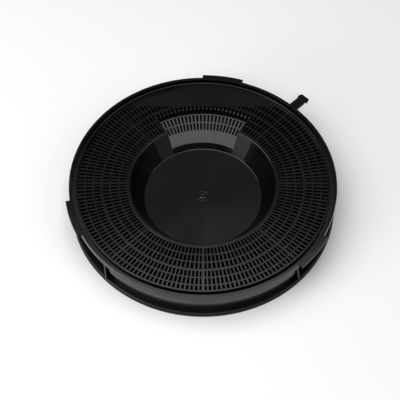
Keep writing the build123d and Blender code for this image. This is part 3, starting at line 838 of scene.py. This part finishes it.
def add_ramp(bm, v, d):
    """The sunken ramp: plain foot, two slotted rows, steep slotted step and two side walls."""
    first_row, second_row = row_limits(v, d, 0), row_limits(v, d, 1)
    strips = (
        (d.ramp_foot_r + v.ramp_lap, first_row[0], {2: EDGE}),
        (first_row[1], second_row[0], {2: EDGE, 3: EDGE}),
        (second_row[1], d.ramp_top_r, {3: EDGE}),
    )
    for inner, outer, rounds in strips:
        low, high = slope_height(d, inner), slope_height(d, outer)
        strip = [(inner, low - v.ramp_thick), (outer, high - v.ramp_thick), (outer, high), (inner, low)]
        turned(bm, strip, rounds, d.ramp_start, v.ramp_span)
    step = tau / v.sectors / v.inner_bars
    edge, back = d.ramp_top_r - LAP, d.step_r + v.step_slant + LAP
    half_slant, bar_top, ramp_under = v.step_slant / 2, d.grille - 2 * HAIR, d.ramp_top - v.ramp_thick
    steep = [
        (edge, d.ramp_top - 2 * HAIR), (d.step_r - half_slant, d.grille - v.step_slant_drop),
        (d.step_r + half_slant, bar_top), (back, bar_top), (back, d.under), (edge + v.thick, ramp_under),
        (edge, ramp_under),
    ]
    first = int(d.ramp_start / step) + 1
    last = int((d.ramp_start + v.ramp_span) / step)
    bends = {1: v.step_round, 2: v.step_round}
    for i in range(first, last + 1):
        angle = i * step
        for inner, outer in (first_row, second_row):
            wide = (step * inner * v.bar_share, step * outer * v.bar_share)
            top = slope_height(d, outer + SINK) - BAR_DROP
            one = bar(inner - SINK, outer + SINK, top, *wide, v.ramp_thick, v.slot_edge, d.ramp_slope)
            place(bm, one, angle)
        plate(bm, steep, step * d.step_r * v.bar_share, angle, v.slot_edge, rounds=bends)
    side_top = d.grille + 2 * FILM
    side = [
        (d.ramp_foot_r + v.ramp_lap / 2, d.ramp_foot - v.ramp_thick), (d.ramp_top_r + v.thick, ramp_under),
        (d.step_r + v.thick, side_top), (v.cup_radius, side_top), (d.ramp_foot_r, d.ramp_foot),
    ]
    off = v.thick / (d.ramp_foot_r + d.ramp_top_r)
    for angle in (d.ramp_start - off, d.ramp_start + v.ramp_span + off):
        plate(bm, side, v.thick, angle, v.ramp_side_round)


def slope_height(d, radius):
    """Height of the ramp's slope at a radius."""
    return d.ramp_foot + (radius - d.ramp_foot_r) * d.ramp_slope


def recess_notches(c, f, d):
    """Where the filling leaves room for the set-back walls, as (start, span, inner, outer)."""
    inner = d.recess_r - c.wall - f.clearance
    margin = c.pocket + (c.wall + f.clearance) / inner
    return [(start - margin, span + 2 * margin, inner, c.radius) for start, span in spans_between(c)[0]]


def fleece_ring(bm, f, inner, outer, bottom, top, notches):
    """A closed nonwoven ring with notches in its edges, and with both faces a little uneven."""
    ends = sorted({(start + extra) % tau for start, span, _, _ in notches for extra in (0.0, span)})
    limits = {inner, outer} | {edge for notch in notches for edge in notch[2:] if inner < edge < outer}
    even = {inner + (outer - inner) * i / f.rings for i in range(1, f.rings)}
    part = bmesh.new()
    for i, start in enumerate(ends):
        span = (ends[(i + 1) % len(ends)] - start) % tau
        middle = start + span / 2
        low, high = inner, outer
        for begin, wide, near, far in notches:
            if (middle - begin) % tau < wide:
                low, high = (far, high) if near <= inner else (low, near)
        radii = sorted(r for r in limits | even if low - TINY <= r <= high + TINY)
        line = [part.verts.new((r, 0.0, bottom)) for r in radii]
        edges = [part.edges.new(pair) for pair in zip(line, line[1:])]
        turn_round(part, line, start)
        bmesh.ops.spin(
            part, geom=line + edges, cent=(0, 0, 0), axis=(0, 0, 1), angle=span,
            steps=max(1, round(STEPS_ROUND * span / tau)),
        )
    bmesh.ops.remove_doubles(part, verts=part.verts, dist=TINY)
    thicken(part, (0, 0, top - bottom))
    face_outwards(part)
    for vert in part.verts:
        sunk = f.uneven * (0.5 + 0.5 * hills.noise(vert.co / f.patch))
        vert.co.z += -sunk if vert.co.z > (top + bottom) / 2 else sunk
    join_to(bm, part)


class FILTER_OT_casing(bpy.types.Operator):
    """Outer moulding with its rim, recesses, tabs, lever and room side grille"""

    bl_idname = "filter.casing"
    bl_label = "Casing"

    def execute(self, context):
        scene = context.scene
        c, v, d = scene.filter_casing, scene.filter_cover, derived(scene)
        bm = bmesh.new()
        add_wall(bm, c, d)
        for start, span in spans_between(c)[0]:
            add_recess(bm, c, d, start, span)
        for angle in TAB_ANGLES:
            add_tab(bm, c, d, angle)
        add_lever(bm, c)
        add_floor_grille(bm, c, v, d)
        finish = scene.filter_finish
        material = moulded_plastic("casing_black_plastic", finish, finish.casing_ior)
        satin_wall(material, finish, c)
        finish_piece(bm, "casing_moulding", material, "casing")
        return {"FINISHED"}


class FILTER_OT_cover(bpy.types.Operator):
    """Motor side cover with its slotted rows, lip, cup, plain segment and sunken ramp"""

    bl_idname = "filter.cover"
    bl_label = "Motor side cover"

    def execute(self, context):
        scene = context.scene
        v, d = scene.filter_cover, derived(scene)
        bm = bmesh.new()
        add_flat_grille(bm, v, d)
        add_segment(bm, v, d)
        add_lip(bm, v, d)
        add_cup(bm, v, d)
        add_ramp(bm, v, d)
        finish = scene.filter_finish
        material = moulded_plastic("cover_black_plastic", finish, finish.cover_ior)
        matt_panels(material, finish, d, v)
        finish_piece(bm, "cover_moulding", material, "motor_side_cover")
        return {"FINISHED"}


class FILTER_OT_filling(bpy.types.Operator):
    """Carbon granules and the nonwoven fleece above and below them"""

    bl_idname = "filter.filling"
    bl_label = "Filling"

    def execute(self, context):
        scene = context.scene
        c, v, f, finish = scene.filter_casing, scene.filter_cover, scene.filter_filling, scene.filter_finish
        d = derived(scene)
        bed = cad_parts["carbon_bed"].data
        bed.materials.clear()
        bed.materials.append(granules("carbon_granules", finish.carbon))
        fleece = nonwoven("black_fleece", finish.fleece)
        outer = d.ledge_r - f.clearance
        off_ramp = v.thick + f.clearance
        margin = off_ramp / d.first_ring
        ramp = (d.ramp_start - margin, v.ramp_span + 2 * margin, 0.0, d.step_r + off_ramp)
        off_cup = (v.cup_wall + f.clearance) / cos(atan2(v.cup_taper, v.cup_depth))
        insides = {
            "upper_fleece": (cup_radius(v, d, d.under) + off_cup, [ramp]),
            "lower_fleece": (d.spigot_r + f.clearance, []),
        }
        for name, (inner, more) in insides.items():
            (_, _, bottom), (_, _, top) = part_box(name)
            bm = bmesh.new()
            fleece_ring(bm, f, inner, outer, bottom, top, recess_notches(c, f, d) + more)
            finish_piece(bm, name + "_nonwoven", fleece, name)
        return {"FINISHED"}


class FILTER_OT_studio(bpy.types.Operator):
    """Wide pale floor, the soft lights and the camera"""

    bl_idname = "filter.studio"
    bl_label = "Studio"

    def execute(self, context):
        scene = context.scene
        studio = scene.filter_studio
        add_floor(studio)
        add_lights(scene, studio)
        add_camera(scene, studio)
        return {"FINISHED"}


def add_floor(studio):
    """Wide flat floor disc."""
    bm = bmesh.new()
    bmesh.ops.create_circle(bm, cap_ends=True, radius=studio.floor_radius, segments=96)
    mesh = bpy.data.meshes.new("studio_floor")
    bm.to_mesh(mesh)
    bm.free()
    mesh.materials.append(floor_paint("studio_floor", studio.floor))
    floor = bpy.data.objects.new("studio_floor", mesh)
    bpy.context.scene.collection.objects.link(floor)


def add_area_light(name, where, target, across, power):
    """A soft light of a given width and depth that points at a target and isn't seen itself."""
    data = bpy.data.lights.new(name, "AREA")
    data.shape = "RECTANGLE"
    data.size, data.size_y = across
    data.energy = power
    light = bpy.data.objects.new(name, data)
    light.location = where
    light.rotation_euler = (Vector(target) - Vector(where)).to_track_quat("-Z", "Y").to_euler()
    light.visible_camera = False
    bpy.context.scene.collection.objects.link(light)


def add_lights(scene, studio):
    """A wide softbox overhead, a dim glow from the far wall, a fill at the right and a low card."""
    middle = (0.0, 0.0, 0.0)
    over = (-0.95, -0.35, 1.35)
    below = (*over[:2], 0.0)
    add_area_light("overhead_softbox", over, below, (2.76, 2.1), studio.key)
    add_area_light("far_wall_glow", (0.0, 2.0, 2.6), middle, (3.2, 1.6), studio.glow)
    add_area_light("right_fill", (1.5, -0.5, 1.2), middle, (1.6, 1.6), studio.fill)
    add_area_light("low_card", (-1.5, -0.95, 0.45), middle, (0.9, 0.5), studio.card)
    world = bpy.data.worlds.new("dim_room")
    world.use_nodes = True
    background = world.node_tree.nodes["Background"]
    background.inputs["Color"].default_value = (1.0, 1.0, 1.0, 1.0)
    background.inputs["Strength"].default_value = studio.surround
    scene.world = world
    scene.view_settings.view_transform = "Standard"


def add_camera(scene, studio):
    """The camera, looking down on the filter from the near side."""
    look_at = Vector((-0.00265, -0.01866, 0.0306))
    towards = Vector((0.0, -cos(studio.elevation), sin(studio.elevation)))
    data = bpy.data.cameras.new("camera")
    data.lens = studio.focal
    data.sensor_width = 36.0
    camera = bpy.data.objects.new("camera", data)
    camera.location = look_at + studio.distance * towards
    camera.rotation_euler = (pi / 2 - studio.elevation, 0.0, 0.0)
    scene.collection.objects.link(camera)
    scene.camera = camera


class FILTER_PT_panel(bpy.types.Panel):
    """Lists the steps that make the filter"""

    bl_label = "Cooker hood filter"
    bl_idname = "FILTER_PT_panel"
    bl_space_type = "VIEW_3D"
    bl_region_type = "UI"
    bl_category = "Filter"

    def draw(self, context):
        for operator in OPERATORS:
            self.layout.operator(operator.bl_idname)


GROUPS = {
    "filter_casing": FilterCasingSizes,
    "filter_cover": FilterCoverSizes,
    "filter_filling": FilterFillingSizes,
    "filter_finish": FilterFinish,
    "filter_studio": FilterStudio,
}
OPERATORS = (FILTER_OT_casing, FILTER_OT_cover, FILTER_OT_filling, FILTER_OT_studio)


def register():
    """Registers the groups, operators and panel."""
    for name, group in GROUPS.items():
        bpy.utils.register_class(group)
        setattr(bpy.types.Scene, name, bpy.props.PointerProperty(type=group))
    for operator in OPERATORS:
        bpy.utils.register_class(operator)
    bpy.utils.register_class(FILTER_PT_panel)


def unregister():
    """Takes the panel, operators and groups away again."""
    bpy.utils.unregister_class(FILTER_PT_panel)
    for operator in reversed(OPERATORS):
        bpy.utils.unregister_class(operator)
    for name, group in reversed(GROUPS.items()):
        delattr(bpy.types.Scene, name)
        bpy.utils.unregister_class(group)


def main():
    """Makes every piece in order."""
    register()
    bpy.ops.filter.casing()
    bpy.ops.filter.cover()
    bpy.ops.filter.filling()
    bpy.ops.filter.studio()


if __name__ == "__main__":
    main()
